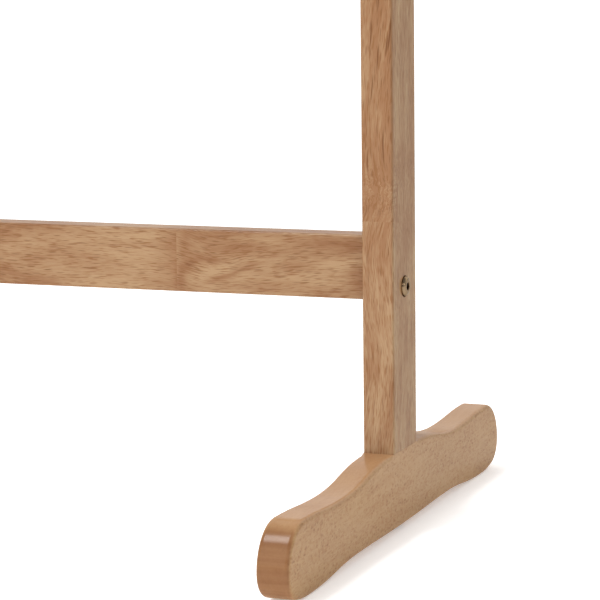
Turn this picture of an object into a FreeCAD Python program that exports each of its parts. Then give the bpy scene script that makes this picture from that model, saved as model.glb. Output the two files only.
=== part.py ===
"""Freestanding towel stand in clear-varnished rubberwood, in millimetres.

Two end frames stand on long wavy feet.  Each has an upright, a foot bolted up into its lower
end and a shorter arm let into it near the top with a cross-lap.  A flat stretcher low down and
three round rails tie the two frames together: one rail at the top of the uprights, and one at
each end of the arms.  The stretcher and the rails are drawn up by socket bolts whose domed brass
heads show on the outer faces.

X runs along the rails, Y from front to back and Z up.  The origin is on the floor, midway
between the frames and below the uprights.  The right-hand frame is drawn, and the left one is
its mirror image.
"""
import FreeCAD, Part
import os
from FreeCAD import Vector

# ---- the whole stand
frame_width = 600.0          # over the outer faces of the uprights
stand_height = 860.0         # floor to the top of the uprights
board_thickness = 18.0       # the stock that uprights, feet, arms and stretcher are cut from

# ---- uprights
upright_depth = 40.0
upright_crown = 13.0         # radius of the two top corners
upright_easing = 1.5         # rounding of the long edges

# ---- feet: the outline runs from a flat seat through a dip and a crest to a round nose
foot_length = 363.0
foot_height = 46.0           # floor to the seat of the upright
foot_seat_margin = 5.0       # flat of the seat beyond the upright
foot_dip_from_nose = 83.0
foot_dip_drop = 7.0          # seat down to the dip
foot_crest_from_nose = 24.0
foot_crest_drop = 4.8        # seat down to the crest
foot_nose_sag = 3.6          # middle of the nose below the middle of the foot's end
foot_nose_lift = 2.0         # how far the nose's own arc stays clear of the floor
foot_heel_radius = 72.0      # long arc from the nose down to the pad
foot_pad_length = 6.0        # flat that stands on the floor
foot_arch_from_nose = 103.0  # nose back to the highest part of the arch
foot_arch_rise = 3.6
foot_belly_rise = 2.8        # underside above the floor at the middle
foot_easing = 2.5
foot_seat_edge = 0.2         # the easing dies away to this under the upright

# ---- arms: the same kind of outline, shorter and slimmer
arm_length = 282.0
arm_height = 38.0
arm_top_below_crown = 102.0  # top of the stand down to the arm's seat
arm_seat_margin = 5.0
arm_dip_from_nose = 63.0
arm_dip_drop = 5.5
arm_crest_from_nose = 20.0
arm_crest_drop = 3.2
arm_nose_sag = 1.0
arm_nose_lift = 1.5
arm_heel_radius = 60.0
arm_pad_length = 6.0
arm_arch_from_nose = 80.0
arm_arch_rise = 4.5
arm_belly_rise = 1.5
arm_easing = 1.5

# ---- lower stretcher
stretcher_height = 36.0
stretcher_above_foot = 84.0  # seat of the foot to the stretcher's lower edge
stretcher_easing = 1.5
stretcher_dowel_from_top = 9.0
stretcher_dowel_in_upright = 10.0
stretcher_nut_from_end = 26.0

# ---- round rails
rail_diameter = 18.0
rail_socket = 6.0            # depth of the blind sockets that take the rail ends
rail_chamfer = 0.8
top_rail_below_crown = 21.0  # top of the stand down to the top rail's axis
arm_rail_from_nose = 20.0    # nose of the arm to the rail's axis

# ---- bolts
thread_diameter = 6.0
head_diameter = 11.5
head_height = 2.8
head_rim = 0.7               # straight part of the head, below its dome
head_flat_diameter = 6.4     # flat round the socket
socket_across_flats = 4.0
socket_depth = 1.8
counterbore_depth = 0.8
bolt_past_nut = 6.0          # thread that shows past a nut or insert

# ---- barrel nuts, threaded inserts and dowels
nut_diameter = 10.0
nut_length = 13.0
nut_recess = 0.7             # slotted end of the stretcher's nuts below the wood
nut_slot_width = 1.4
nut_slot_depth = 1.2
insert_diameter = 10.0
insert_length = 13.0
dowel_diameter = 8.0
dowel_length = 30.0
dowel_chamfer = 0.8
foot_dowel_from_edge = 7.5   # from the upright's front or back face to a foot dowel's axis
foot_bolt_pocket = 16.0      # depth of the pocket under the foot for the bolt's head
foot_nut_above_seat = 30.0

# ---- clearances
fit_gap = 0.05               # radial gap of a dowel, nut, insert or rail in its hole
bolt_gap = 0.3               # radial gap of a bolt in wood, and of its head in the counterbore
end_gap = 0.5                # room at the blind end of a hole

# ---- places worked out from the sizes above
X_AXIS = Vector(1, 0, 0)
Y_AXIS = Vector(0, 1, 0)
Z_AXIS = Vector(0, 0, 1)
outer_face = frame_width / 2
inner_face = outer_face - board_thickness
frame_middle = (outer_face + inner_face) / 2
half_depth = upright_depth / 2
stretcher_bottom = foot_height + stretcher_above_foot
stretcher_top = stretcher_bottom + stretcher_height
stretcher_bolt_z = stretcher_bottom + nut_recess + nut_length / 2
stretcher_dowel_z = stretcher_top - stretcher_dowel_from_top
foot_nut_z = foot_height + foot_nut_above_seat
foot_dowel_y = half_depth - foot_dowel_from_edge
foot_pocket_top = foot_belly_rise + foot_bolt_pocket
arm_top = stand_height - arm_top_below_crown
arm_rail_y = arm_length / 2 - arm_rail_from_nose
arm_rail_z = arm_top - (arm_height + arm_crest_drop) / 2
top_rail_z = stand_height - top_rail_below_crown
past_nut_centre = nut_diameter / 2 + bolt_past_nut
stretcher_bolt_length = board_thickness - counterbore_depth + stretcher_nut_from_end + past_nut_centre
foot_bolt_length = foot_nut_z - foot_pocket_top + past_nut_centre
rail_bolt_length = board_thickness - rail_socket - counterbore_depth + insert_length + bolt_past_nut

# name, Y and Z of each rail's axis
RAILS = [
    ("top_rail", 0.0, top_rail_z),
    ("front_rail", -arm_rail_y, arm_rail_z),
    ("back_rail", arm_rail_y, arm_rail_z),
]


def at(y, z, x=0.0):
    return Vector(x, y, z)


def rod(start, direction, diameter, length):
    return Part.makeCylinder(diameter / 2, length, start, direction)


def placed(shape, origin, direction):
    """Turns a shape drawn along +Z so that it points along direction, and moves it to origin."""
    turned = shape.copy()
    turned.Placement = FreeCAD.Placement(origin, FreeCAD.Rotation(Z_AXIS, direction))
    return turned


def arc(start, centre, end):
    """The shorter arc from start to end about centre."""
    outwards = (start - centre) + (end - centre)
    middle = centre + outwards * ((start - centre).Length / outwards.Length)
    return Part.Arc(start, middle, end).toShape()


def ogee(start, end):
    """Two arcs that meet halfway and are level at both ends, so that a chain has no corners."""
    run = end.y - start.y
    fall = end.z - start.z
    radius = (run ** 2 + fall ** 2) / (4 * abs(fall))
    to_centre = at(0, radius if fall > 0 else -radius)
    halfway = (start + end) * 0.5
    return [arc(start, start + to_centre, halfway), arc(halfway, end - to_centre, end)]


def wavy_face(length, height, seat_margin, dip_from_nose, dip_drop, crest_from_nose, crest_drop,
              nose_sag, nose_lift, heel_radius, pad_length, arch_from_nose, arch_rise, belly_rise):
    """The side view of a foot or arm: one half is drawn from the middle of the seat round the
    nose to the middle of the underside, and its mirror image closes it.  The crest's arc, the
    nose's arc and the heel's arc touch each other without a corner."""
    reach = length / 2
    seat_end = at(half_depth + seat_margin, height)
    dip = at(reach - dip_from_nose, height - dip_drop)
    crest = at(reach - crest_from_nose, height - crest_drop)
    nose_z = crest.z / 2 - nose_sag
    nose_radius = nose_z - nose_lift
    nose = at(reach - nose_radius, nose_z)

    run, fall = nose.y - crest.y, crest.z - nose_z
    crest_radius = (run ** 2 + fall ** 2 - nose_radius ** 2) / (2 * (fall - nose_radius))
    crest_centre = crest - at(0, crest_radius)
    brow = crest_centre + (nose - crest_centre).normalize() * crest_radius

    heel_run = ((heel_radius - nose_radius) ** 2 - (heel_radius - nose_z) ** 2) ** 0.5
    heel_centre = at(nose.y - heel_run, heel_radius)
    chin = heel_centre + (nose - heel_centre).normalize() * heel_radius
    pad_outer = at(heel_centre.y, 0)
    pad_inner = pad_outer - at(pad_length, 0)
    arch = at(reach - arch_from_nose, arch_rise)

    half = [Part.makeLine(at(0, height), seat_end)]
    half += ogee(seat_end, dip) + ogee(dip, crest)
    half += [arc(crest, crest_centre, brow), arc(brow, nose, chin), arc(chin, heel_centre, pad_outer)]
    half += [Part.makeLine(pad_outer, pad_inner)]
    half += ogee(pad_inner, arch) + ogee(arch, at(0, belly_rise))
    other_half = [edge.mirror(Vector(), Y_AXIS) for edge in half]
    return Part.Face(Part.Wire(Part.__sortEdges__(half + other_half)))


def foot_face():
    return wavy_face(foot_length, foot_height, foot_seat_margin, foot_dip_from_nose, foot_dip_drop,
                     foot_crest_from_nose, foot_crest_drop, foot_nose_sag, foot_nose_lift,
                     foot_heel_radius, foot_pad_length, foot_arch_from_nose, foot_arch_rise,
                     foot_belly_rise)


def arm_face():
    face = wavy_face(arm_length, arm_height, arm_seat_margin, arm_dip_from_nose, arm_dip_drop,
                     arm_crest_from_nose, arm_crest_drop, arm_nose_sag, arm_nose_lift,
                     arm_heel_radius, arm_pad_length, arm_arch_from_nose, arm_arch_rise,
                     arm_belly_rise)
    face.translate(at(0, arm_top - arm_height))
    return face


def board(face, low_x=inner_face, thickness=board_thickness):
    """A board with the given side view, from low_x outwards."""
    moved = face.copy()
    moved.translate(Vector(low_x, 0, 0))
    return moved.extrude(Vector(thickness, 0, 0))


def eased(solid, radius, lowest=-1.0):
    """Rounds the edges round both side faces of a board, apart from those wholly below lowest."""
    sides = (solid.BoundBox.XMin, solid.BoundBox.XMax)
    chosen = []
    for edge in solid.Edges:
        box = edge.BoundBox
        lies_in_side = any(abs(box.XMin - side) + abs(box.XMax - side) < 1e-4 for side in sides)
        if lies_in_side and box.ZMax > lowest:
            chosen.append(edge)
    return solid.makeFillet(radius, chosen)


def peg(start, direction, diameter, length, chamfer):
    """A round rod with both ends chamfered."""
    wide = diameter / 2
    narrow = wide - chamfer
    profile = Part.makePolygon([
        Vector(), Vector(narrow, 0, 0), Vector(wide, 0, chamfer), Vector(wide, 0, length - chamfer),
        Vector(narrow, 0, length), Vector(0, 0, length), Vector(),
    ])
    return placed(Part.Face(profile).revolve(Vector(), Z_AXIS, 360), start, direction)


def bolt_head():
    """The domed head, from its underside at the origin up +Z, before its socket is cut.  The dome
    is part of the sphere that passes through the rim and the edge of the flat."""
    rim = head_diameter / 2
    flat = head_flat_diameter / 2
    centre = (rim ** 2 + head_rim ** 2 - flat ** 2 - head_height ** 2) / (2 * (head_rim - head_height))
    radius = (rim ** 2 + (head_rim - centre) ** 2) ** 0.5
    halfway = (rim + flat) / 2
    profile = Part.Wire([
        Part.makeLine(Vector(), Vector(rim, 0, 0)),
        Part.makeLine(Vector(rim, 0, 0), Vector(rim, 0, head_rim)),
        Part.Arc(Vector(rim, 0, head_rim),
                 Vector(halfway, 0, centre + (radius ** 2 - halfway ** 2) ** 0.5),
                 Vector(flat, 0, head_height)).toShape(),
        Part.makeLine(Vector(flat, 0, head_height), Vector(0, 0, head_height)),
        Part.makeLine(Vector(0, 0, head_height), Vector()),
    ])
    return Part.Face(profile).revolve(Vector(), Z_AXIS, 360)


def hexagon_socket():
    corner = socket_across_flats / 3 ** 0.5
    floor_z = head_height - socket_depth
    corners = [FreeCAD.Rotation(Z_AXIS, 60 * k).multVec(Vector(corner, 0, floor_z)) for k in range(7)]
    return Part.Face(Part.makePolygon(corners)).extrude(Vector(0, 0, socket_depth))


def socket_bolt(length, origin, direction):
    """A bolt whose head's underside is at origin and whose head stands out along direction."""
    tip = thread_diameter / 6
    shank = rod(Vector(0, 0, tip - length), Z_AXIS, thread_diameter, length - tip)
    point = Part.makeCone(thread_diameter / 2 - tip, thread_diameter / 2, tip, Vector(0, 0, -length))
    bolt = bolt_head().fuse([shank, point]).removeSplitter().cut(hexagon_socket())
    return placed(bolt, origin, direction)


def bolt_hole(face_point, outwards, length):
    """The counterbore and clearance hole of a bolt whose head stands out of face_point."""
    counterbore = rod(face_point, -outwards, head_diameter + 2 * bolt_gap, counterbore_depth)
    clearance = rod(face_point, -outwards, thread_diameter + 2 * bolt_gap,
                    counterbore_depth + length + end_gap)
    return counterbore.fuse(clearance)


def barrel_nut(centre, mouth_direction, bolt_axis):
    """A round cross nut with a screwdriver slot in the end that faces the mouth of its hole."""
    body = rod(centre - mouth_direction * (nut_length / 2), mouth_direction, nut_diameter, nut_length)
    thread = rod(centre - bolt_axis * nut_diameter, bolt_axis, thread_diameter + 2 * fit_gap,
                 2 * nut_diameter)
    slot = Part.makeBox(2 * nut_diameter, nut_slot_width, nut_slot_depth,
                        Vector(-nut_diameter, -nut_slot_width / 2, nut_length / 2 - nut_slot_depth))
    return body.cut([thread, placed(slot, centre, mouth_direction)])


def nut_hole(mouth, inwards, centre_depth):
    return rod(mouth, inwards, nut_diameter + 2 * fit_gap, centre_depth + nut_length / 2)


def dowel_hole(mouth, inwards, dowel_depth):
    return rod(mouth, inwards, dowel_diameter + 2 * fit_gap, dowel_depth + end_gap)


def foot_dowel_holes(inwards):
    return [dowel_hole(at(side * foot_dowel_y, foot_height, frame_middle), inwards, dowel_length / 2)
            for side in (-1, 1)]


def rail_end_cuts(y, z):
    """The blind socket for a rail's end and the bolt's hole, in the board that carries the rail."""
    socket = rod(at(y, z, inner_face), X_AXIS, rail_diameter + 2 * fit_gap, rail_socket)
    return [socket, bolt_hole(at(y, z, outer_face), X_AXIS, rail_bolt_length)]


def seat_section(y, radius):
    """The square top of a foot across its thickness, with its two upper corners rounded."""
    low = foot_height - 2 * foot_easing
    diagonal = radius * (1 - 0.5 ** 0.5)
    half = [
        Part.makeLine(at(y, low, frame_middle), at(y, low, outer_face)),
        Part.makeLine(at(y, low, outer_face), at(y, foot_height - radius, outer_face)),
        Part.Arc(at(y, foot_height - radius, outer_face),
                 at(y, foot_height - diagonal, outer_face - diagonal),
                 at(y, foot_height, outer_face - radius)).toShape(),
        Part.makeLine(at(y, foot_height, outer_face - radius), at(y, foot_height, frame_middle)),
    ]
    other_half = [edge.mirror(at(y, 0, frame_middle), X_AXIS) for edge in half]
    return Part.Wire(Part.__sortEdges__(half + other_half))


def seat_block():
    """The seat, square-edged under the upright; over the margin its edges grow round again."""
    middle = Part.Face(seat_section(-half_depth, foot_seat_edge)).extrude(at(upright_depth, 0))
    ends = [Part.makeLoft([seat_section(side * half_depth, foot_seat_edge),
                           seat_section(side * (half_depth + foot_seat_margin), foot_easing)], True, True)
            for side in (-1, 1)]
    return [middle] + ends


def foot():
    blank = eased(board(foot_face()), foot_easing).fuse(seat_block()).removeSplitter()
    pocket = rod(at(0, 0, frame_middle), Z_AXIS, head_diameter + 2 * bolt_gap, foot_pocket_top)
    clearance = rod(at(0, 0, frame_middle), Z_AXIS, thread_diameter + 2 * bolt_gap, foot_height)
    return blank.cut([pocket, clearance] + foot_dowel_holes(-Z_AXIS))


def upright_face():
    straight_top = stand_height - upright_crown
    flat = half_depth - upright_crown
    diagonal = upright_crown * 0.5 ** 0.5
    half = [
        Part.makeLine(at(0, foot_height), at(half_depth, foot_height)),
        Part.makeLine(at(half_depth, foot_height), at(half_depth, straight_top)),
        Part.Arc(at(half_depth, straight_top), at(flat + diagonal, straight_top + diagonal),
                 at(flat, stand_height)).toShape(),
        Part.makeLine(at(flat, stand_height), at(0, stand_height)),
    ]
    other_half = [edge.mirror(Vector(), Y_AXIS) for edge in half]
    return Part.Face(Part.Wire(Part.__sortEdges__(half + other_half)))


def upright():
    blank = eased(board(upright_face()), upright_easing, lowest=foot_height + upright_easing)
    bolt_reach = foot_nut_above_seat + past_nut_centre + end_gap
    top_rail_y, top_rail_height = RAILS[0][1:]
    cuts = [
        board(arm_face(), low_x=frame_middle),
        rod(at(0, foot_height, frame_middle), Z_AXIS, thread_diameter + 2 * bolt_gap, bolt_reach),
        nut_hole(at(0, foot_nut_z, inner_face), X_AXIS, board_thickness / 2),
        bolt_hole(at(0, stretcher_bolt_z, outer_face), X_AXIS, stretcher_bolt_length),
        dowel_hole(at(0, stretcher_dowel_z, inner_face), X_AXIS, stretcher_dowel_in_upright),
    ]
    return blank.cut(cuts + foot_dowel_holes(Z_AXIS) + rail_end_cuts(top_rail_y, top_rail_height))


def arm():
    lap = Part.makeBox(board_thickness / 2, upright_depth, arm_height,
                       Vector(inner_face, -half_depth, arm_top - arm_height))
    cuts = [lap]
    for _, y, z in RAILS[1:]:
        cuts += rail_end_cuts(y, z)
    return eased(board(arm_face()), arm_easing).cut(cuts)


def stretcher():
    blank = Part.makeBox(2 * inner_face, board_thickness, stretcher_height,
                         Vector(-inner_face, -board_thickness / 2, stretcher_bottom))
    long_edges = [edge for edge in blank.Edges if edge.BoundBox.XLength > inner_face]
    cuts = []
    for side in (-1, 1):
        inwards = X_AXIS * -side
        nut_x = side * (inner_face - stretcher_nut_from_end)
        cuts += [
            rod(at(0, stretcher_bolt_z, side * inner_face), inwards, thread_diameter + 2 * bolt_gap,
                stretcher_nut_from_end + past_nut_centre + end_gap),
            nut_hole(at(0, stretcher_bottom, nut_x), Z_AXIS, stretcher_bolt_z - stretcher_bottom),
            dowel_hole(at(0, stretcher_dowel_z, side * inner_face), inwards,
                       dowel_length - stretcher_dowel_in_upright),
        ]
    return blank.makeFillet(stretcher_easing, long_edges).cut(cuts)


def rail(y, z):
    """A round rail that ends in two sockets, drilled at each end for its threaded insert."""
    reach = inner_face + rail_socket
    cuts = []
    for side in (-1, 1):
        end = at(y, z, side * reach)
        inwards = X_AXIS * -side
        cuts.append(rod(end, inwards, insert_diameter + 2 * fit_gap, insert_length))
        cuts.append(rod(end, inwards, thread_diameter + 2 * bolt_gap,
                        insert_length + bolt_past_nut + end_gap))
    return peg(at(y, z, -reach), X_AXIS, rail_diameter, 2 * reach, rail_chamfer).cut(cuts)


def threaded_insert(y, z):
    mouth = at(y, z, inner_face + rail_socket)
    sleeve = rod(mouth, -X_AXIS, insert_diameter, insert_length)
    return sleeve.cut(rod(mouth, -X_AXIS, thread_diameter + 2 * fit_gap, insert_length))


def frame_pieces():
    """Every piece of the right-hand frame and of its fasteners, by name."""
    pieces = {"foot": foot(), "upright": upright(), "arm": arm()}
    pieces["stretcher_bolt"] = socket_bolt(
        stretcher_bolt_length, at(0, stretcher_bolt_z, outer_face - counterbore_depth), X_AXIS)
    pieces["stretcher_nut"] = barrel_nut(
        at(0, stretcher_bolt_z, inner_face - stretcher_nut_from_end), -Z_AXIS, X_AXIS)
    pieces["stretcher_dowel"] = peg(
        at(0, stretcher_dowel_z, inner_face + stretcher_dowel_in_upright), -X_AXIS,
        dowel_diameter, dowel_length, dowel_chamfer)
    pieces["foot_bolt"] = socket_bolt(foot_bolt_length, at(0, foot_pocket_top, frame_middle), -Z_AXIS)
    pieces["foot_nut"] = barrel_nut(at(0, foot_nut_z, frame_middle), -X_AXIS, Z_AXIS)
    for name, side in (("front", -1), ("back", 1)):
        pieces[f"foot_dowel_{name}"] = peg(
            at(side * foot_dowel_y, foot_height - dowel_length / 2, frame_middle), Z_AXIS,
            dowel_diameter, dowel_length, dowel_chamfer)
    for name, y, z in RAILS:
        pieces[f"{name}_bolt"] = socket_bolt(
            rail_bolt_length, at(y, z, outer_face - counterbore_depth), X_AXIS)
        pieces[f"{name}_insert"] = threaded_insert(y, z)
    return pieces


def build():
    os.makedirs("parts", exist_ok=True)
    nodes = {"lower_stretcher": stretcher()}
    for name, y, z in RAILS:
        nodes[name] = rail(y, z)
    for name, shape in frame_pieces().items():
        nodes[f"right_{name}"] = shape
        nodes[f"left_{name}"] = shape.mirror(Vector(), X_AXIS)
    for name, shape in sorted(nodes.items()):
        shape.exportStep(f"parts/{name}.step")
        print(f"{name}: {len(shape.Solids)} solid, {shape.Volume / 1000:.2f} cm3, valid {shape.isValid()}")


build()
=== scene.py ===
"""Finish, fasteners and studio for a freestanding towel stand in clear-varnished rubberwood.

The boards and rails are the solids of the packed frame, and get a solid wood whose fibres, staves
and pores run through them.  The socket bolts, threaded inserts and glued dowels are turned
surfaces with real threads and flutes, computed here and seated where the frame holds them.
"""
import math

import bpy
import numpy as np
from mathutils import Matrix, Vector


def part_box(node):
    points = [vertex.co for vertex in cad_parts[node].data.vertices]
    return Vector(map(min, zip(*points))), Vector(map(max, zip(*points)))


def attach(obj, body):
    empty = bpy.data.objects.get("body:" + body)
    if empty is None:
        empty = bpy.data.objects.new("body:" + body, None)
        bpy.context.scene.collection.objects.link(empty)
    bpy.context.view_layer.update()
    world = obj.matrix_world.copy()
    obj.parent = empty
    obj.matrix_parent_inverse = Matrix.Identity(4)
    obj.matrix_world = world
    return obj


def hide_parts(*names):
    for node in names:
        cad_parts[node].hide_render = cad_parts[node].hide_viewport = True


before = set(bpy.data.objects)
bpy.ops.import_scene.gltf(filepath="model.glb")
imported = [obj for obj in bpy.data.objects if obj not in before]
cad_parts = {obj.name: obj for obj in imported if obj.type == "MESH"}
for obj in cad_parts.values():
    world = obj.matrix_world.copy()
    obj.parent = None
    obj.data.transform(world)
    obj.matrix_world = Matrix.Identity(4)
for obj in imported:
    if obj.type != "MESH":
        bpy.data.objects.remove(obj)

bl_info = {
    "name": "Freestanding Towel Stand",
    "version": (1, 0, 0),
    "blender": (4, 5, 0),
    "location": "View3D > Sidebar > Towel Stand",
    "description": "Finishes the stand's boards and rails and makes its threaded fasteners",
    "category": "Object",
}

BODY = "root"
MILLIMETRE = 0.001


# ---------------------------------------------------------------- what a user can change

class RubberwoodSettings(bpy.types.PropertyGroup):
    """Colours and grain of the varnished boards and rails."""
    pale: bpy.props.FloatVectorProperty(
        name="Pale wood", description="Colour of the lightest streaks",
        subtype="COLOR", size=3, min=0, max=1, default=(0.425, 0.266, 0.142))
    warm: bpy.props.FloatVectorProperty(
        name="Warm wood", description="Colour of the darker, reddish streaks",
        subtype="COLOR", size=3, min=0, max=1, default=(0.286, 0.137, 0.063))
    pores: bpy.props.FloatVectorProperty(
        name="Pores", description="Colour inside the open pores",
        subtype="COLOR", size=3, min=0, max=1, default=(0.150, 0.056, 0.020))
    ticks: bpy.props.FloatVectorProperty(
        name="Ticks", description="Colour of the short reddish marks along the fibres",
        subtype="COLOR", size=3, min=0, max=1, default=(0.225, 0.090, 0.031))
    end_grain: bpy.props.FloatVectorProperty(
        name="End grain", description="What the colour is multiplied by where fibres are cut across",
        subtype="COLOR", size=3, min=0, max=1, default=(0.625, 0.525, 0.470))
    side_grain: bpy.props.FloatVectorProperty(
        name="Side grain", description="What the colour is multiplied by on the boards' broad sides",
        subtype="COLOR", size=3, min=0, max=1, default=(0.87, 0.905, 0.86))
    pore_length: bpy.props.FloatProperty(
        name="Pore spacing along", description="Distance between pores along the grain, in millimetres",
        default=12.0, min=2.0, max=40.0)
    pore_width: bpy.props.FloatProperty(
        name="Pore spacing across", description="Distance between pores across the grain, in millimetres",
        default=1.15, min=0.3, max=5.0)
    varnish: bpy.props.FloatProperty(
        name="Varnish", description="Weight of the clear coat over the wood",
        subtype="FACTOR", default=0.29, min=0.0, max=1.0)
    varnish_roughness: bpy.props.FloatProperty(
        name="Varnish roughness", description="Low is glossy and high is dull",
        subtype="FACTOR", default=0.20, min=0.02, max=1.0)


class FastenerSettings(bpy.types.PropertyGroup):
    """Sizes and colours of the bolts, inserts, nuts and dowels."""
    thread_pitch: bpy.props.FloatProperty(
        name="Bolt pitch", description="Advance of the bolts' thread in one turn",
        unit="LENGTH", default=1.0 * MILLIMETRE, min=0.0004, max=0.003)
    thread_depth: bpy.props.FloatProperty(
        name="Bolt thread depth", description="Depth of the bolts' thread",
        unit="LENGTH", default=0.5 * MILLIMETRE, min=0.0, max=0.001)
    insert_pitch: bpy.props.FloatProperty(
        name="Insert pitch", description="Advance of the inserts' coarse outer thread in one turn",
        unit="LENGTH", default=2.6 * MILLIMETRE, min=0.001, max=0.006)
    insert_thread_depth: bpy.props.FloatProperty(
        name="Insert thread depth", description="Depth of the inserts' outer thread",
        unit="LENGTH", default=0.9 * MILLIMETRE, min=0.0, max=0.002)
    flutes: bpy.props.IntProperty(
        name="Dowel flutes", description="Glue grooves round each dowel", default=20, min=6, max=40)
    flute_depth: bpy.props.FloatProperty(
        name="Flute depth", description="Depth of the glue grooves",
        unit="LENGTH", default=0.22 * MILLIMETRE, min=0.0, max=0.001)
    brass: bpy.props.FloatVectorProperty(
        name="Brass", description="Colour of the bolts' bronzed brass plating",
        subtype="COLOR", size=3, min=0, max=1, default=(0.235, 0.165, 0.098))
    # also the colour of painted shade: it darkens the bolts' sockets, head rims, undersides and thread
    # roots
    patina: bpy.props.FloatVectorProperty(
        name="Patina", description="Colour of the plating where it is dulled and in the socket",
        subtype="COLOR", size=3, min=0, max=1, default=(0.130, 0.066, 0.027))
    zinc: bpy.props.FloatVectorProperty(
        name="Zinc", description="Colour of the nuts and inserts",
        subtype="COLOR", size=3, min=0, max=1, default=(0.62, 0.63, 0.64))
    beech: bpy.props.FloatVectorProperty(
        name="Beech", description="Colour of the dowels",
        subtype="COLOR", size=3, min=0, max=1, default=(0.62, 0.40, 0.22))


class StudioSettings(bpy.types.PropertyGroup):
    """Floor and lights."""
    floor: bpy.props.FloatVectorProperty(
        name="Floor", description="Colour of the pale floor",
        subtype="COLOR", size=3, min=0, max=1, default=(0.92, 0.92, 0.92))
    # painted light: the floor glows though it is no lamp, which washes out the stand's cast shadows
    floor_glow: bpy.props.FloatProperty(
        name="Floor glow", description="Light given by the floor far from the stand",
        default=0.52, min=0.0, max=2.0)
    walls: bpy.props.FloatProperty(
        name="Walls", description="Brightness of the white room near the horizon",
        default=0.72, min=0.0, max=3.0)
    ceiling: bpy.props.FloatProperty(
        name="Ceiling", description="Brightness of the white room overhead",
        default=0.45, min=0.0, max=3.0)
    open_side: bpy.props.FloatProperty(
        name="Open side", description="Share of the room's brightness towards the front",
        default=0.45, min=0.0, max=1.0)
    overhead: bpy.props.FloatProperty(
        name="Overhead light", description="Power of the softbox above the stand",
        unit="POWER", default=27.0, min=0.0, max=1000.0)
    key: bpy.props.FloatProperty(
        name="Key light", description="Strength of the broad light from the front left",
        default=0.98, min=0.0, max=20.0)
    side: bpy.props.FloatProperty(
        name="Side light", description="Power of the softbox on the right",
        unit="POWER", default=3.0, min=0.0, max=1000.0)
    front: bpy.props.FloatProperty(
        name="Front light", description="Power of the softbox high in front",
        unit="POWER", default=4.5, min=0.0, max=1000.0)
    back_wall: bpy.props.FloatProperty(
        name="Back wall", description="Extra brightness of the room behind the stand",
        default=1.2, min=0.0, max=3.0)


# ---------------------------------------------------------------- shader recipes

class Signal:
    """A value inside a shader, which plain arithmetic combines with others through Math nodes."""

    def __init__(self, shader, socket):
        self.shader = shader
        self.socket = socket

    def __add__(self, other):
        return self.shader.math("ADD", self, other)

    def __sub__(self, other):
        return self.shader.math("SUBTRACT", self, other)

    def __mul__(self, other):
        return self.shader.math("MULTIPLY", self, other)

    def __truediv__(self, other):
        return self.shader.math("DIVIDE", self, other)

    __radd__ = __add__
    __rmul__ = __mul__


class Shader:
    """Makes the nodes of a shader and links them."""

    def __init__(self, tree):
        self.tree = tree

    def feed(self, socket, value):
        if isinstance(value, Signal):
            self.tree.links.new(value.socket, socket)
        elif isinstance(value, tuple) and len(value) == 3 and socket.type == "RGBA":
            socket.default_value = (*value, 1.0)
        else:
            socket.default_value = value

    def node(self, kind, output=0, inputs=(), **settings):
        made = self.tree.nodes.new(kind)
        for key, value in settings.items():
            setattr(made, key, value)
        for key, value in dict(inputs).items():
            self.feed(made.inputs[key], value)
        return Signal(self, made.outputs[output])

    def math(self, operation, *values):
        return self.node("ShaderNodeMath", operation=operation, inputs=dict(enumerate(values)))

    def split(self, vector, kind="ShaderNodeSeparateXYZ"):
        """The three parts of a vector, or with another kind of node those of a colour."""
        parts = self.tree.nodes.new(kind)
        self.feed(parts.inputs[0], vector)
        return [Signal(self, output) for output in parts.outputs[:3]]

    def noise(self, x, y, z, detail=2.0, roughness=0.5, output="Fac"):
        spot = self.node("ShaderNodeCombineXYZ", inputs={"X": x, "Y": y, "Z": z})
        return self.node("ShaderNodeTexNoise", output, noise_dimensions="3D", inputs={
            "Vector": spot, "Scale": 1.0, "Detail": detail, "Roughness": roughness})

    def cells(self, x, y, z):
        """Distance to the nearest of the points strewn through space, about one in each unit cube."""
        spot = self.node("ShaderNodeCombineXYZ", inputs={"X": x, "Y": y, "Z": z})
        return self.node("ShaderNodeTexVoronoi", "Distance", voronoi_dimensions="3D", feature="F1",
                         inputs={"Vector": spot, "Scale": 1.0, "Randomness": 1.0})

    def chance(self, value):
        """One random number from 0 to 1 for each whole value."""
        return self.node("ShaderNodeTexWhiteNoise", "Value", noise_dimensions="1D", inputs={"W": value})

    def fade(self, value, start, end, low=0.0, high=1.0):
        """Goes smoothly from low to high as value goes from start to end."""
        return self.node("ShaderNodeMapRange", "Result", interpolation_type="SMOOTHSTEP", inputs={
            "Value": value, "From Min": start, "From Max": end, "To Min": low, "To Max": high})

    def blend(self, share, first, second):
        """Two colours mixed by share, which is held between 0 and 1."""
        made = self.tree.nodes.new("ShaderNodeMix")
        made.data_type = "RGBA"
        made.clamp_factor = True
        self.feed(made.inputs[0], share)
        self.feed(made.inputs[6], first)
        self.feed(made.inputs[7], second)
        return Signal(self, made.outputs[2])

    def bell(self, along, across, centre, reach, height, slope=0.0):
        """A hump: height times a bell curve of the distance from centre, over reach.  Its long
        direction climbs across by slope."""
        u = (along - centre[0]) / reach[0]
        v = (across - centre[1] - (along - centre[0]) * slope) / reach[1]
        return self.math("EXPONENT", (u * u + v * v) * -1.0) * height

    def wander(self, x, y, z, amount, detail=1.0):
        """Two independent noises between minus and plus amount."""
        colour = self.noise(x, y, z, detail=detail, output="Color")
        red, green, _ = self.split(colour, "ShaderNodeSeparateColor")
        return (red - 0.5) * (2.0 * amount), (green - 0.5) * (2.0 * amount)


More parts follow.
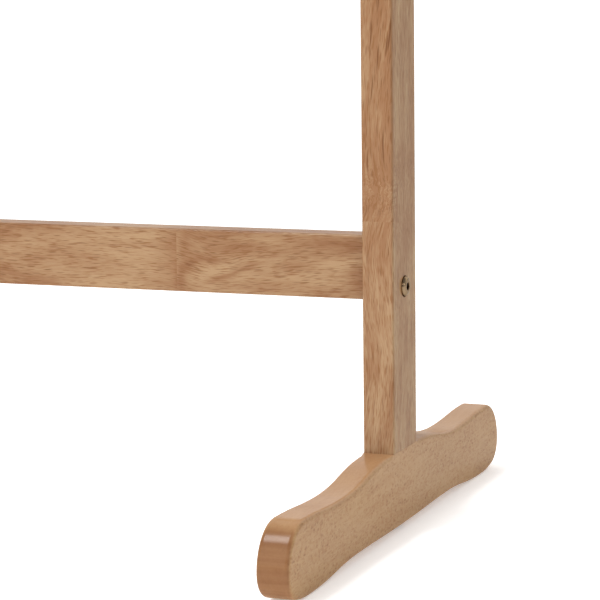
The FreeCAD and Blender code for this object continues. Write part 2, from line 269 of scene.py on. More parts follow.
class Recipe(Shader):
    """One material.  Lengths inside a recipe are millimetres of the object's own coordinates."""

    def __init__(self, name):
        self.material = bpy.data.materials.new(name)
        self.material.use_nodes = True
        super().__init__(self.material.node_tree)
        self.tree.nodes.clear()
        output = self.tree.nodes.new("ShaderNodeOutputMaterial")
        self.surface = self.tree.nodes.new("ShaderNodeBsdfPrincipled")
        self.tree.links.new(self.surface.outputs["BSDF"], output.inputs["Surface"])

    def coordinates(self):
        """Object coordinates in millimetres, as three signals."""
        return [part / MILLIMETRE for part in self.split(self.node("ShaderNodeTexCoord", "Object"))]

    def facing(self, axis):
        """1 where the surface is square to the axis, 0 where it runs along it."""
        normal = self.split(self.node("ShaderNodeTexCoord", "Normal"))
        return self.math("ABSOLUTE", normal["XYZ".index(axis)])

    def bump(self, height, depth, strength):
        """Depth is in millimetres for a height of one."""
        return self.node("ShaderNodeBump", "Normal", inputs={
            "Height": height, "Distance": depth * MILLIMETRE, "Strength": strength})

    def finish(self, inputs):
        for key, value in inputs.items():
            self.feed(self.surface.inputs[key], value)
        return self.material


def tinted(colour, tint):
    """A colour with each channel multiplied by the tint's."""
    return tuple(channel * share for channel, share in zip(colour, tint))


def dimmed(colour, share):
    return tuple(channel * share for channel in colour)


def dress(node, material):
    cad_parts[node].material_slots[0].material = material


# ---------------------------------------------------------------- rubberwood

# size of each pattern in the wood along and across the fibres, in millimetres
SWAY = (60.0, 30.0)
BANDS = (120.0, 3.6)
STREAKS = (15.0, 1.5)
PATCHES = (30.0, 8.0)
FIBRES = (4.5, 0.5)
VEINS = (50.0, 2.0)
FLECKS = (4.6, 2.8)
BLOTCHES = (5.0, 4.0)
CRUMPLES = (3.6, 2.8)
SWIRLS = (2.6, 2.2)

# how far the pattern is moved along the fibres from one stave, layer or board to the next
STAVE_SHIFT, LAYER_SHIFT, SEED_SHIFT = 173.0, 61.0, 37.0
LAYER_NUMBER = 7.0   # keeps a stave's random number apart from that of the stave behind it
RING_TAPER = 0.04    # the growth bands close in on the pith by this share of the height
CURL_FADE = 4.0      # depth over which a curl dies away below its own depth


def scaled(point, size):
    """The point measured in a pattern's size along and across the fibres."""
    along, across, through = point
    return along / size[0], across / size[1], through / size[1]


def stave_value(recipe, along, joints, values):
    """The first value up to the first joint, the second one up to the next, and so on."""
    result = values[0]
    for joint, before, after in zip(joints, values, values[1:]):
        result = recipe.math("GREATER_THAN", along, joint) * (after - before) + result
    return result


def curl(recipe, point, seed, centre, reach, depth, amount):
    """Curly figure as beside a knot, down to a depth: how strong it is at each point, its push
    along and across the fibres, and its swirling lines, which lie where a noise is near its
    middle."""
    along, across, through = point
    near = (recipe.bell(along, across, centre, reach, 1.0)
            * recipe.fade(through, depth, depth + CURL_FADE, 1.0, 0.0))
    push_along, push_across = recipe.wander(
        along / CRUMPLES[0], across / CRUMPLES[1], seed + 0.5, amount, detail=2.0)
    swirl = recipe.noise(along / SWIRLS[0], across / SWIRLS[1], seed, detail=1.0)
    off_line = recipe.math("ABSOLUTE", swirl - 0.5)
    lines = recipe.fade(off_line, 0.07, 0.01, -0.12, 0.5)
    return near, push_along * near * 0.5, push_across * near, lines * near


def rubberwood(name, grain, seed, joints=(), tones=(0.5,), leans=(0.0,), veins=(0.0,),
               layers=None, pith=(60.0, -140.0), waviness=2.5, bends=(), stains=(), curls=(),
               tick_size=(8.0, 0.6), ticks=0.68, pores=0.5, flecks=0.12, mottle=0.0,
               edge_marks=1.0, variety=1.0, tint=(1.0, 1.0, 1.0)):
    """Solid rubberwood under clear varnish.

    grain names the axes along, across and through the fibres.  Each stave between two joints has
    its own tone, lean, veins and piece of the pattern.  Behind the plane layers[0] lies a second
    layer, whose joints are shifted by layers[1] and whose tone differs by layers[2].

    The growth bands are irregular cones round the pith, and everything follows the same bent
    fibres, so that the figure meets at the board's edges.  Bends push the fibres aside, curls
    crumple them and stains darken them.  Ticks, pores and veins are dark marks drawn out along
    the fibres: ticks short and reddish, pores fine, veins long and thin.  Flecks are the specks
    of the broad sides, and mottle their blotches.  edge_marks is the share of marks on the other
    sides, variety scales the figure's contrast and tint multiplies the colour."""
    look = bpy.context.scene.stand_rubberwood
    recipe = Recipe(name)
    axes = dict(zip("XYZ", recipe.coordinates()))
    spot = [axes[axis] for axis in grain]
    along, across, through = spot

    # the stave and layer that each point lies in
    layer, stave_height, stain = 0.0, along, 0.0
    if layers:
        plane, shift, darker = layers
        layer = recipe.math("GREATER_THAN", through, plane)
        stave_height = along + layer * shift
        stain = layer * darker
    numbers = tuple(range(len(joints) + 1))
    stave, tone, lean, vein = (stave_value(recipe, stave_height, joints, values)
                               for values in (numbers, tones, leans, veins))
    luck = recipe.chance(stave + seed + layer * LAYER_NUMBER)
    for hump in stains:
        stain = recipe.bell(along, across, *hump) + stain

    # the fibres: the place of each point in the tree
    run = along + (stave * STAVE_SHIFT + layer * LAYER_SHIFT + seed * SEED_SHIFT)
    side, crumple = across, 0.0
    for knot in curls:
        near, push_along, push_across, lines = curl(recipe, spot, seed, *knot)
        run, side = run + push_along, side + push_across
        stain = lines + stain
        vein = vein * (near * -0.9 + 1.0)
        crumple = near * 0.02 + crumple
    sway_side, sway_deep = recipe.wander(*scaled((run, side, through), SWAY), waviness)
    side = side + sway_side + along * lean
    deep = through + sway_deep
    for hump in bends:
        side = recipe.bell(along, across, *hump) + side
    point = (run, side, deep)

    # soft figure
    ring_side, ring_deep = side - pith[0], deep - pith[1]
    ring = recipe.math("SQRT", ring_side * ring_side + ring_deep * ring_deep) - along * RING_TAPER
    bands = recipe.noise(run / BANDS[0], ring / BANDS[1], luck * 9.0, detail=2.0, roughness=0.55)
    streaks = recipe.noise(*scaled(point, STREAKS), detail=2.0, roughness=0.55)
    patches = recipe.noise(*scaled(point, PATCHES), detail=1.0)
    fibres = recipe.noise(*scaled(point, FIBRES), detail=1.0)

    # how much the surface cuts across the fibres, and how much it faces along X, as the broad
    # sides of the frames' boards do
    cut, flank = recipe.facing(grain[0]), recipe.facing("X")
    lengthwise = recipe.fade(cut, 0.25, 0.65, 1.0, 0.15)
    broad = recipe.fade(flank, 0.4, 0.9, edge_marks, 1.0)

    # dark marks
    tick_noise = recipe.noise(*scaled(point, tick_size), detail=1.0, roughness=0.4)
    crowd = recipe.fade(patches, 0.35, 0.65, -0.03, 0.03) + stain * 0.06 + crumple
    tick_marks = recipe.fade(tick_noise + crowd, 0.53, 0.68) * lengthwise * broad * ticks
    pore_cells = recipe.cells(*scaled(point, (look.pore_length, look.pore_width)))
    pore_marks = recipe.fade(pore_cells, 0.32, 0.12) * lengthwise * broad * pores
    vein_marks = recipe.fade(recipe.cells(*scaled(point, VEINS)), 0.28, 0.13) * vein
    fleck_marks = (recipe.fade(recipe.cells(*scaled(point, FLECKS)), 0.33, 0.16)
                   * recipe.fade(flank, 0.4, 0.9, 0.1 * flecks, flecks)
                   * recipe.fade(patches, 0.38, 0.62, 0.3, 1.0))

    # colour
    warmth = ((bands - 0.5) * recipe.fade(lengthwise, 0.2, 0.8, 1.2 / variety, 1.5)
              + (streaks - 0.5) * 0.85 + (patches - 0.5) * 0.9 + (fibres - 0.5) * 0.6)
    warmth = warmth * variety + tone + stain
    if mottle:
        blotches = recipe.noise(*scaled(spot, BLOTCHES), detail=4.0, roughness=0.75)
        warmth = (blotches - 0.5) * broad * mottle + warmth
    colour = recipe.blend(warmth, tuple(look.pale), tuple(look.warm))
    colour = recipe.blend(tick_marks, colour, tuple(look.ticks))
    marks = recipe.math("MAXIMUM", recipe.math("MAXIMUM", pore_marks, fleck_marks), vein_marks)
    colour = recipe.blend(marks, colour, tuple(look.pores))
    shade = recipe.blend(recipe.fade(flank, 0.5, 0.9), tint, tinted(tint, look.side_grain))
    shade = recipe.blend(recipe.fade(cut, 0.3, 0.72), shade, tinted(tint, look.end_grain))
    colour = recipe.node("ShaderNodeVectorMath", operation="MULTIPLY", inputs={0: colour, 1: shade})

    relief = fibres * 0.2 - pore_marks - tick_marks * 0.4
    return recipe.finish({
        "Base Color": colour, "Roughness": 0.5, "Specular IOR Level": 0.0,
        "Coat Weight": look.varnish, "Coat Roughness": look.varnish_roughness,
        "Normal": recipe.bump(relief, 0.012, 0.6)})


# ---------------------------------------------------------------- boards and rails

UPRIGHT_JOINTS = (175.0, 432.0, 655.0)     # heights of the stave joints
STRETCHER_JOINTS = (-196.0, -22.0, 166.5)  # along the stretcher from its middle

# Bends and stains are humps in the figure: middle and reach along and across the fibres in
# millimetres, then height and slope.  A curl has a depth and an amount after its reach.
RIGHT_UPRIGHT_BENDS = (
    ((92.0, 291.0), (42.0, 60.0), -4.5),
    ((187.0, 291.0), (19.0, 25.0), -5.0),
)
RIGHT_UPRIGHT_STAINS = (
    ((206.0, 298.0), (9.0, 2.5), 0.5),
    ((209.0, 294.0), (7.0, 1.2), 0.7),
    ((288.0, 289.0), (14.0, 3.5), 0.5),
    ((168.0, 291.0), (12.0, 20.0), 0.22),
)
RIGHT_UPRIGHT_CURLS = (
    ((191.0, 291.0), (12.0, 14.0), -14.0, 2.6),
)
STRETCHER_BENDS = (
    ((188.0, 152.0), (19.0, 30.0), 5.0),
    ((208.0, 150.0), (30.0, 34.0), 3.5),
)
STRETCHER_STAINS = (
    ((134.0, 148.0), (32.0, 30.0), -0.62),
    ((156.0, 159.0), (10.0, 5.0), -0.25),
    ((168.8, 137.5), (3.2, 7.5), 0.6),
    ((171.5, 152.0), (5.0, 20.0), 0.36),
    ((174.5, 146.0), (6.0, 3.0), 0.55, 0.5),
    ((187.5, 149.0), (8.0, 2.0), 0.7, -0.12),
    ((190.0, 143.0), (12.0, 3.6), -0.5, 0.35),
    ((190.0, 158.5), (20.0, 7.0), 0.6),
    ((201.0, 141.8), (20.0, 1.7), 0.55, 0.38),
    ((215.0, 157.0), (12.0, 2.0), 0.35),
    ((245.0, 141.0), (14.0, 4.5), -0.4),
    ((250.0, 162.0), (26.0, 3.5), 0.5, -0.08),
    ((265.3, 149.4), (12.0, 3.5), -0.45, 0.1),
    ((276.0, 160.0), (8.0, 2.5), 0.5),
    ((278.0, 140.0), (7.0, 8.0), 0.55),
)
FOOT_FIGURE = {
    "tones": (0.42,), "tick_size": (2.6, 1.3), "ticks": 0.30, "pores": 0.2, "flecks": 0.42,
    "mottle": 1.0, "edge_marks": 0.3, "variety": 0.35, "tint": (1.075, 1.05, 1.0),
}


class STAND_OT_boards(bpy.types.Operator):
    """Finish the uprights, feet, arms and stretcher in varnished rubberwood"""
    bl_idname = "stand.boards"
    bl_label = "Boards"

    def execute(self, context):
        dress("right_upright", rubberwood(
            "rubberwood right upright", "ZXY", 3.0, joints=UPRIGHT_JOINTS,
            tones=(0.56, 0.86, 0.45, 0.55), leans=(0.0, -0.08, 0.02, -0.04),
            veins=(0.0, 0.9, 0.0, 0.05), layers=(-17.0, -128.0, 0.12), pith=(230.0, -60.0),
            bends=RIGHT_UPRIGHT_BENDS, stains=RIGHT_UPRIGHT_STAINS, curls=RIGHT_UPRIGHT_CURLS,
            tint=(0.975, 1.025, 1.07)))
        dress("left_upright", rubberwood(
            "rubberwood left upright", "ZXY", 8.0, joints=UPRIGHT_JOINTS,
            tones=(0.45, 0.55, 0.6, 0.5), leans=(0.02, -0.04, 0.03, 0.0),
            veins=(0.05, 0.0, 0.2, 0.0), layers=(9.0, 84.0, -0.05), pith=(-230.0, -70.0)))
        dress("right_foot", rubberwood(
            "rubberwood right foot", "YXZ", 5.0, pith=(285.0, -120.0), **FOOT_FIGURE))
        dress("left_foot", rubberwood(
            "rubberwood left foot", "YXZ", 11.0, pith=(-300.0, -130.0), **FOOT_FIGURE))
        dress("right_arm", rubberwood(
            "rubberwood right arm", "YXZ", 14.0, tones=(0.5,), pith=(330.0, 600.0)))
        dress("left_arm", rubberwood(
            "rubberwood left arm", "YXZ", 17.0, tones=(0.48,), pith=(-270.0, 610.0)))
        dress("lower_stretcher", rubberwood(
            "rubberwood stretcher", "XZY", 21.0, joints=STRETCHER_JOINTS,
            tones=(0.45, -0.05, 0.68, 0.48), leans=(0.02, -0.03, 0.0, 0.0), pith=(148.0, -60.0),
            bends=STRETCHER_BENDS, stains=STRETCHER_STAINS, tint=(0.885, 0.885, 0.89)))
        return {"FINISHED"}


class STAND_OT_rails(bpy.types.Operator):
    """Finish the three round rails in varnished rubberwood"""
    bl_idname = "stand.rails"
    bl_label = "Round Rails"

    def execute(self, context):
        for number, node in enumerate(("top_rail", "front_rail", "back_rail")):
            dress(node, rubberwood(f"rubberwood {node}", "XYZ", 31.0 + 5 * number, tones=(0.45,),
                                   pith=(40.0, 700.0), waviness=2.0))
        return {"FINISHED"}


# ---------------------------------------------------------------- metal and beech

# dull is the colour of the random dulling and also of the painted shade in sockets, on rims and in thread
# roots
def metal(name, bright, dull, roughness):
    """Plated metal with a fine grain.  Where the surface's own recess value is high it takes the dull
    colour, as painted shade and patina, and faint clouds dull it at random.
    """
    recipe = Recipe(name)
    x, y, z = recipe.coordinates()
    cloud_size, grain_size = 2.4, 0.35
    recess = recipe.node("ShaderNodeAttribute", "Fac", attribute_name="recess")
    cloud = recipe.noise(x / cloud_size, y / cloud_size, z / cloud_size, detail=4.0, roughness=0.6)
    speckle = recipe.noise(x / grain_size, y / grain_size, z / grain_size, detail=2.0)
    # painted shade and patina from the mesh's recess value, plus faint random dulling
    dulled_and_shaded = recess + recipe.fade(cloud, 0.35, 0.75, 0.0, 0.18)
    return recipe.finish({
        "Base Color": recipe.blend(dulled_and_shaded, tuple(bright), tuple(dull)), "Metallic": 1.0,
        "Specular Tint": tuple(0.5 + 0.5 * channel for channel in bright),
        "Roughness": recipe.fade(speckle, 0.2, 0.8, roughness * 0.8, roughness * 1.3),
        "Normal": recipe.bump(speckle, 0.006, 0.4)})


def beech(name):
    """Bare beech, clouded and with fine dark flecks."""
    look = bpy.context.scene.stand_fasteners
    recipe = Recipe(name)
    x, y, z = recipe.coordinates()
    cloud_size, fleck_size = 3.0, 1.6
    cloud = recipe.noise(x / cloud_size, y / cloud_size, z / cloud_size, detail=3.0)
    flecks = recipe.cells(x / fleck_size, y / fleck_size, z / fleck_size)
    darkness = cloud * 0.6 + recipe.fade(flecks, 0.3, 0.1, 0.0, 0.35)
    return recipe.finish({
        "Base Color": recipe.blend(darkness, tuple(look.beech), dimmed(look.beech, 0.55)),
        "Roughness": 0.72, "Normal": recipe.bump(cloud, 0.05, 0.5)})


# ---------------------------------------------------------------- turned surfaces

SHARP_FROM = math.radians(38)   # edges that turn by more than this are shaded sharp


class Rings:
    """The rings of a turned surface along Z, one after the other, in millimetres."""

    def __init__(self, steps):
        self.angles = np.arange(steps) * 2 * np.pi / steps
        self.rows = []

    def add(self, radius, height, recess=0.0):
        """Adds one ring, or one for each row where height is a column of heights.  Radius and
        recess, the painted shade and patina that darken the metal, may also differ from angle to angle."""
        shape = (np.size(height), self.angles.size)
        self.rows.append([np.broadcast_to(value, shape) for value in (radius, height, recess)])

    def grid(self):
        """In metres, the point at radius times (cos, sin) and at height, for each ring and angle;
        and each point's painted shade and patina."""
        radii, heights, recess = (np.concatenate(part) for part in zip(*self.rows))
        x, y = radii * np.cos(self.angles), radii * np.sin(self.angles)
        return np.stack([x, y, heights], axis=-1) * MILLIMETRE, recess


def column(start, end, count):
    """Evenly spaced heights, one in each row."""
    return np.linspace(start, end, count)[:, None]


def thread_wave(heights, angles, pitch):
    """A right-hand screw: 1 on the crest and 0 at the root, straight flanks, blunted crests."""
    turn = (heights / pitch - angles / (2 * np.pi)) % 1.0
    return np.clip(1.25 - 2.5 * np.abs(turn - 0.5), 0.0, 1.0)


def grid_faces(rings, steps, loop):
    """Quads between neighbouring rings, wrapped round; with loop the last ring meets the first."""
    ring, step = np.meshgrid(np.arange(rings if loop else rings - 1), np.arange(steps), indexing="ij")
    above, beside = (ring + 1) % rings, (step + 1) % steps
    corners = [ring * steps + step, ring * steps + beside, above * steps + beside, above * steps + step]
    return np.stack(corners, axis=-1).reshape(-1, 4).tolist()


def turned_mesh(name, grid, recess, loop=False):
    """A closed mesh from rings that run upwards on the outside: joined end to end as a loop, or
    closed at both ends by triangles round a pole."""
    rings, steps = grid.shape[:2]
    points, marks = grid.reshape(-1, 3), recess.reshape(-1)
    faces = grid_faces(rings, steps, loop)
    if not loop:
        bottom_pole, top_pole, top_ring = rings * steps, rings * steps + 1, (rings - 1) * steps
        step = np.arange(steps)
        beside = (step + 1) % steps
        faces += np.stack([beside, step, step * 0 + bottom_pole], axis=1).tolist()
        faces += np.stack([top_ring + step, top_ring + beside, step * 0 + top_pole], axis=1).tolist()
        points = np.concatenate([points, [grid[0].mean(axis=0), grid[-1].mean(axis=0)]])
        marks = np.concatenate([marks, [recess[0, 0], recess[-1, 0]]])
    mesh = bpy.data.meshes.new(name)
    mesh.from_pydata(points.tolist(), [], faces)
    # each point's painted shade and patina, which the metal's colour reads
    mesh.attributes.new("recess", "FLOAT", "POINT").data.foreach_set("value", marks.astype(np.float32))
    mesh.polygons.foreach_set("use_smooth", np.ones(len(mesh.polygons), bool))
    return mesh


def seat_piece(name, mesh, origin, direction, material, replaced):
    """Turns a mesh drawn along +Z to direction, moves it to origin and has it stand for a node."""
    turn = Vector((0, 0, 1)).rotation_difference(direction).to_matrix().to_4x4()
    mesh.transform(Matrix.Translation(origin) @ turn)
    mesh.update()
    mesh.set_sharp_from_angle(angle=SHARP_FROM)
    mesh.materials.append(material)
    piece = bpy.data.objects.new(name, mesh)
    bpy.context.scene.collection.objects.link(piece)
    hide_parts(replaced)
    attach(piece, BODY)


def nodes_named(part):
    return sorted(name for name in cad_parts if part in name)


def axis_of(node):
    """The node's middle, its long direction pointing outwards or down, and its length and width
    in millimetres."""
    low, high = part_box(node)
    size = (high - low) / MILLIMETRE
    axis = max(range(3), key=lambda k: size[k])
    middle = (low + high) / 2
    direction = Vector((0, 0, 0))
    direction[axis] = -1.0 if axis == 2 or middle[axis] < 0 else 1.0
    return middle, direction, size[axis], min(size)


# ---------------------------------------------------------------- bolts

# head, socket and shank of the bolts, in millimetres
BOLT_STEPS = 60           # points round a bolt
HEAD_HEIGHT = 2.8
HEAD_RIM = 0.7            # straight part of the head, below its dome
RIM_ROUND = 0.25
HEAD_FLAT_RADIUS = 3.2    # flat round the socket
HALF_FLATS = 2.0          # middle of the socket to one of its flats
SHANK_RADIUS = 3.0
FILLET = 0.3              # between the head's underside and the shank
PLAIN_SHARE = 0.35        # plain part of a shank as a share of its length
LONGEST_PLAIN = 14.0
THREAD_RUN_IN = 1.5       # turns over which the thread gets its full depth
THREAD_RINGS = 8          # rings in one turn of the thread
TIP_CHAMFER = 1.0

# the socket from the hollow in its floor to its mouth: share of the hexagon, height, and painted shade
# and patina
SOCKET_RINGS = (
    (0.25, -2.15, 1.0),
    (0.97, -1.80, 1.0),
    (1.00, -1.74, 1.0),
    (1.00, -0.22, 0.9),
)
# the round mouth and the flat about it: radius, height, and painted shade and patina
MOUTH_RINGS = (
    (2.42, -0.04, 0.25),
    (2.55, 0.0, 0.0),
    (3.05, 0.0, 0.0),
)


def bolt_surface(length, width):
    """The rings of a socket bolt, with the top of its head at height 0 and its tip downwards.

    The socket's rings are hexagons: their radius is half the flats' distance over the cosine of
    the angle to the middle of the nearest flat.  The dome is nearly a quarter of an ellipse, from
    the flat to the rim.  The thread's rings dip by the wave of the screw, which fades in over its
    first turns and out towards the chamfered tip."""
    look = bpy.context.scene.stand_fasteners
    pitch, depth = look.thread_pitch / MILLIMETRE, look.thread_depth / MILLIMETRE
    rings = Rings(BOLT_STEPS)
    head_radius = width / 2
    under = -HEAD_HEIGHT

    # the socket and the flat round it
    hexagon = HALF_FLATS / np.cos((rings.angles + np.pi / 6) % (np.pi / 3) - np.pi / 6)
    for share, height, recess in SOCKET_RINGS:
        rings.add(share * hexagon, height, recess)
    for radius, height, recess in MOUTH_RINGS:
        rings.add(radius, height, recess)

    # the dome, the rim and the head's underside; the dome's outer edge, the rim and the underside get
    # painted shade and patina
    rise = column(0.0, 1.0, 13)
    dome_width = head_radius - RIM_ROUND * 0.4 - HEAD_FLAT_RADIUS
    rings.add(HEAD_FLAT_RADIUS + dome_width * np.sin(rise * np.pi / 2) ** 0.9,
              -(HEAD_HEIGHT - HEAD_RIM) * (1 - np.cos(rise * np.pi / 2)) ** 0.95,
              np.clip((rise - 0.7) / 0.2, 0.0, 1.0))
    rings.add(head_radius, under + HEAD_RIM - RIM_ROUND, 0.6)
    rings.add(head_radius, under + RIM_ROUND * 0.6, 0.7)
    rings.add(head_radius - RIM_ROUND * 0.6, under, 1.0)

    # the shank, plain and then threaded; painted shade darkens it under the head and in the thread's
    # roots
    rings.add(SHANK_RADIUS + FILLET, under, 0.6)
    rings.add(SHANK_RADIUS, under - FILLET, 0.3)
    tip = HEAD_HEIGHT - length
    start = under - min(PLAIN_SHARE * (length - HEAD_HEIGHT), LONGEST_PLAIN)
    rings.add(SHANK_RADIUS, start, 0.2)
    heights = column(start, tip, int((start - tip) / pitch * THREAD_RINGS))
    fade_in = np.clip((start - heights) / (THREAD_RUN_IN * pitch), 0, 1)
    fade_out = np.clip((heights - tip) / TIP_CHAMFER, 0, 1)
    root = (1 - thread_wave(heights, rings.angles, pitch)) * fade_in
    rings.add(SHANK_RADIUS - (1 - fade_out) * TIP_CHAMFER - root * depth * fade_out, heights,
              0.25 + 0.5 * root)
    return rings.grid()


class STAND_OT_bolts(bpy.types.Operator):
    """Make the socket bolts with their domed heads, hexagon sockets and threads"""
    bl_idname = "stand.bolts"
    bl_label = "Socket Bolts"

    def execute(self, context):
        look = context.scene.stand_fasteners
        brass = metal("bronzed brass", look.brass, look.patina, 0.20)
        for node in nodes_named("_bolt"):
            middle, direction, length, width = axis_of(node)
            grid, recess = bolt_surface(length, width)
            mesh = turned_mesh(f"{node}_threaded", grid[::-1], recess[::-1])
            head_top = middle + direction * (length / 2 * MILLIMETRE)
            seat_piece(f"{node}_threaded", mesh, head_top, direction, brass, node)
        return {"FINISHED"}


# ---------------------------------------------------------------- inserts, nuts and dowels

# sizes in millimetres
INSERT_STEPS = 48         # points round an insert
INSERT_RINGS = 64         # rings of its bore, and of its thread
INSERT_BORE_RADIUS = 3.05
INSERT_FADE = 1.2         # length over which its thread dies away at each end
MOUTH_CHAMFER = 0.3
TAIL_CHAMFER = (0.5, 0.6)  # across and along
DOWEL_CHAMFER = 0.8
STEPS_PER_FLUTE = 6


def insert_surface(length, width):
    """The rings of a threaded insert as a closed loop: up the bore, over the mouth and down the
    coarse outer thread, whose crest is the full width and which dies away at both ends."""
    look = bpy.context.scene.stand_fasteners
    pitch, depth = look.insert_pitch / MILLIMETRE, look.insert_thread_depth / MILLIMETRE
    rings = Rings(INSERT_STEPS)
    end = length / 2
    root_radius = width / 2 - depth
    # painted shade darkens the bore and the roots of the outer thread
    rings.add(INSERT_BORE_RADIUS, column(-end, end, INSERT_RINGS), 0.6)
    rings.add(root_radius - MOUTH_CHAMFER, end)
    heights = column(end - MOUTH_CHAMFER, TAIL_CHAMFER[1] - end, INSERT_RINGS)
    fade = np.clip((end - np.abs(heights)) / INSERT_FADE, 0, 1)
    wave = thread_wave(heights, rings.angles, pitch) ** 1.6
    rings.add(root_radius + wave * depth * fade, heights, 0.5 * (1 - wave))
    rings.add(root_radius - TAIL_CHAMFER[0], -end)
    return rings.grid()


class STAND_OT_inserts(bpy.types.Operator):
    """Make the threaded inserts in the rails' ends"""
    bl_idname = "stand.inserts"
    bl_label = "Threaded Inserts"

    def execute(self, context):
        look = context.scene.stand_fasteners
        # the dimmed zinc is the colour of the painted shade in the inserts' bores and thread roots
        zinc = metal("zinc plate on inserts", look.zinc, dimmed(look.zinc, 0.3), 0.32)
        for node in nodes_named("_insert"):
            middle, direction, length, width = axis_of(node)
            grid, recess = insert_surface(length, width)
            mesh = turned_mesh(f"{node}_threaded", grid[::-1], recess[::-1], loop=True)
            seat_piece(f"{node}_threaded", mesh, middle, direction, zinc, node)
        return {"FINISHED"}


class STAND_OT_nuts(bpy.types.Operator):
    """Finish the slotted barrel nuts"""
    bl_idname = "stand.nuts"
    bl_label = "Barrel Nuts"

    def execute(self, context):
        look = context.scene.stand_fasteners
        zinc = metal("zinc plate on nuts", look.zinc, dimmed(look.zinc, 0.3), 0.28)
        for node in nodes_named("_nut"):
            dress(node, zinc)
        return {"FINISHED"}


def dowel_surface(length, width):
    """The rings of a fluted dowel, upwards: the radius dips by the flute depth between the
    ridges, and the ends are chamfered."""
    look = bpy.context.scene.stand_fasteners
    rings = Rings(look.flutes * STEPS_PER_FLUTE)
    end, depth = length / 2, look.flute_depth / MILLIMETRE
    flute = 1 - np.abs(np.sin(rings.angles * look.flutes / 2)) ** 0.6
    rings.add(width / 2 - DOWEL_CHAMFER, -end)
    rings.add(width / 2 - depth * flute, column(DOWEL_CHAMFER - end, end - DOWEL_CHAMFER, 3))
    rings.add(width / 2 - DOWEL_CHAMFER, end)
    return rings.grid()


class STAND_OT_dowels(bpy.types.Operator):
    """Make the fluted beech dowels"""
    bl_idname = "stand.dowels"
    bl_label = "Fluted Dowels"

    def execute(self, context):
        wood = beech("bare beech")
        for node in nodes_named("_dowel"):
            middle, direction, length, width = axis_of(node)
            mesh = turned_mesh(f"{node}_fluted", *dowel_surface(length, width))
            seat_piece(f"{node}_fluted", mesh, middle, direction, wood, node)
        return {"FINISHED"}


# ---------------------------------------------------------------- stage

CAMERA_PLACE = (0.737763, -1.298150, 0.333740)
CAMERA_YAW = math.radians(21.0621)
CAMERA_PITCH = math.radians(8.4604)
CAMERA_ROLL = math.radians(-0.6794)
CAMERA_LENS = 150.0
CAMERA_SENSOR = 36.0

# each softbox's place, target and size in metres; its power is the setting of the same name
SOFTBOXES = {
    "overhead": ((-0.45, -0.70, 2.0), (-0.45, -0.70, 0.0), (0.64, 0.64)),
    "side": ((2.2, -0.35, 0.70), (0.3, 0.0, 0.14), (0.7, 0.5)),
    "front": ((1.63, -1.91, 1.24), (0.3, -0.18, 0.03), (1.0, 0.12)),
}
KEY_PLACE = (-0.35, -1.0, 0.62)
KEY_SPREAD = math.radians(50)

FLOOR_HALF_WIDTH = 40.0     # in metres
FLOOR_CLOUDS = 900.0        # size of the floor's faint clouds, in millimetres
FLOOR_GLOW_IN_PAINTED_SHADOW = 0.26         # glow of the floor beside the feet, lower than elsewhere: a painted contact shadow
FLOOR_PAINTED_SHADOW_TO = 4.0       # distances from a foot's middle line, in millimetres
FLOOR_BRIGHT_FROM = 42.0
FOOT_END_INSET = 30.0       # the foot's line stops this far short of its nose


def aimed(place, target):
    """The turn of a light at place that shines at target."""
    return (Vector(target) - Vector(place)).to_track_quat("-Z", "Y").to_euler()


def hang(name, data, place=(0, 0, 0), turn=(0, 0, 0)):
    thing = bpy.data.objects.new(name, data)
    thing.location = place
    thing.rotation_euler = turn
    bpy.context.scene.collection.objects.link(thing)
    return thing


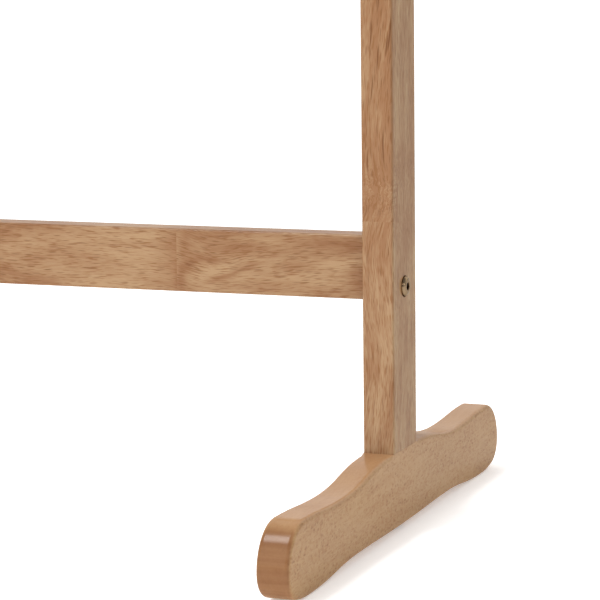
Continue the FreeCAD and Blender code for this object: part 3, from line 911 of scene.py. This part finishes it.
class STAND_OT_studio(bpy.types.Operator):
    """Set up the pale floor, the soft lights and the camera"""
    bl_idname = "stand.studio"
    bl_label = "Studio"

    def execute(self, context):
        look = context.scene.stand_studio
        self.lay_floor(look)
        context.scene.world = self.white_room(look)
        for name, (place, target, size) in SOFTBOXES.items():
            self.hang_softbox(f"{name} softbox", place, target, size, getattr(look, name))
        self.hang_key(look)
        context.scene.camera = self.place_camera()
        context.scene.view_settings.view_transform = "Standard"
        return {"FINISHED"}

    def lay_floor(self, look):
        """A flat square, far wider than any view of the stand.  Its glow is painted light that washes out
        the stand's cast shadows, and it glows less beside the feet as a painted contact shadow.
        """
        low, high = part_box("right_foot")
        foot_line = (low.x + high.x) / 2 / MILLIMETRE
        foot_reach = high.y / MILLIMETRE - FOOT_END_INSET
        recipe = Recipe("pale floor")
        x, y, z = recipe.coordinates()
        cloud = recipe.noise(x / FLOOR_CLOUDS, y / FLOOR_CLOUDS, z, detail=2.0)
        beside = recipe.math("ABSOLUTE", x) - foot_line
        beyond = recipe.math("MAXIMUM", recipe.math("ABSOLUTE", y) - foot_reach, 0.0)
        distance = recipe.math("SQRT", beside * beside + beyond * beyond)
        half = FLOOR_HALF_WIDTH
        mesh = bpy.data.meshes.new("floor")
        mesh.from_pydata([(-half, -half, 0), (half, -half, 0), (half, half, 0), (-half, half, 0)],
                         [], [(0, 1, 2, 3)])
        mesh.materials.append(recipe.finish({
            "Base Color": recipe.blend(cloud, tuple(look.floor), dimmed(look.floor, 0.985)),
            "Roughness": 0.8, "Specular IOR Level": 0.2, "Emission Color": (1.0, 1.0, 1.0),
            # painted light: the floor's glow washes out the cast shadows, and is dimmed beside the feet
            # as a painted contact shadow
            "Emission Strength": recipe.fade(distance, FLOOR_PAINTED_SHADOW_TO, FLOOR_BRIGHT_FROM,
                                             FLOOR_GLOW_IN_PAINTED_SHADOW, look.floor_glow)}))
        floor = hang("floor", mesh)

    def white_room(self, look):
        """A plain room without corners.  It fades from the walls to the ceiling and towards the
        open front, and has a brighter back wall that starts a little above the horizon."""
        world = bpy.data.worlds.new("white room")
        world.use_nodes = True
        room = Shader(world.node_tree)
        _, y, z = room.split(room.node("ShaderNodeTexCoord", "Generated"))
        brightness = (room.fade(z, 0.05, 0.6, look.walls, look.ceiling)
                      * room.fade(y, -0.9, -0.1, look.open_side, 1.0))
        back_wall = room.fade(y, 0.35, 0.75, 0.0, look.back_wall) * room.fade(z, 0.04, 0.18)
        background = world.node_tree.nodes["Background"]
        room.feed(background.inputs["Color"], (1.0, 1.0, 1.0))
        room.feed(background.inputs["Strength"], brightness + back_wall)
        return world

    def hang_softbox(self, name, place, target, size, power):
        """A rectangular softbox that faces target and is not seen itself."""
        light = bpy.data.lights.new(name, "AREA")
        light.shape = "RECTANGLE"
        light.size, light.size_y = size
        light.energy = power
        box = hang(name, light, place, aimed(place, target))
        box.visible_camera = False

    def hang_key(self, look):
        """A broad, far light whose rays come from the front left."""
        light = bpy.data.lights.new("key light", "SUN")
        light.energy = look.key
        light.angle = KEY_SPREAD
        hang("key light", light, turn=aimed(KEY_PLACE, (0, 0, 0)))

    def place_camera(self):
        """The camera at the photograph's viewing angle: rolled, then pitched, then turned."""
        camera = bpy.data.cameras.new("photo camera")
        camera.lens = CAMERA_LENS
        camera.sensor_width = CAMERA_SENSOR
        camera.clip_end = 100.0
        tripod = hang("photo camera", camera)
        tripod.matrix_world = (
            Matrix.Translation(CAMERA_PLACE)
            @ Matrix.Rotation(CAMERA_YAW, 4, "Z")
            @ Matrix.Rotation(math.pi / 2 - CAMERA_PITCH, 4, "X")
            @ Matrix.Rotation(CAMERA_ROLL, 4, "Z"))
        return tripod


# ---------------------------------------------------------------- panel and registration

MAKING_ORDER = (STAND_OT_studio, STAND_OT_boards, STAND_OT_rails, STAND_OT_bolts, STAND_OT_inserts,
                STAND_OT_nuts, STAND_OT_dowels)
SETTINGS = {
    "stand_rubberwood": RubberwoodSettings,
    "stand_fasteners": FastenerSettings,
    "stand_studio": StudioSettings,
}


class STAND_PT_panel(bpy.types.Panel):
    """Sizes, colours and making steps of the towel stand"""
    bl_label = "Towel Stand"
    bl_idname = "STAND_PT_panel"
    bl_space_type = "VIEW_3D"
    bl_region_type = "UI"
    bl_category = "Towel Stand"

    def draw(self, context):
        for settings, group in SETTINGS.items():
            box = self.layout.box()
            box.label(text=group.__doc__)
            for key in group.__annotations__:
                box.prop(getattr(context.scene, settings), key)
        for step in MAKING_ORDER:
            self.layout.operator(step.bl_idname)


CLASSES = (*SETTINGS.values(), *MAKING_ORDER, STAND_PT_panel)


def register():
    for cls in CLASSES:
        bpy.utils.register_class(cls)
    for settings, group in SETTINGS.items():
        setattr(bpy.types.Scene, settings, bpy.props.PointerProperty(type=group))


def unregister():
    for settings in SETTINGS:
        delattr(bpy.types.Scene, settings)
    for cls in reversed(CLASSES):
        bpy.utils.unregister_class(cls)


def main():
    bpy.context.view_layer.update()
    register()
    for step in MAKING_ORDER:
        family, action = step.bl_idname.split(".")
        getattr(getattr(bpy.ops, family), action)()


if __name__ == "__main__":
    main()
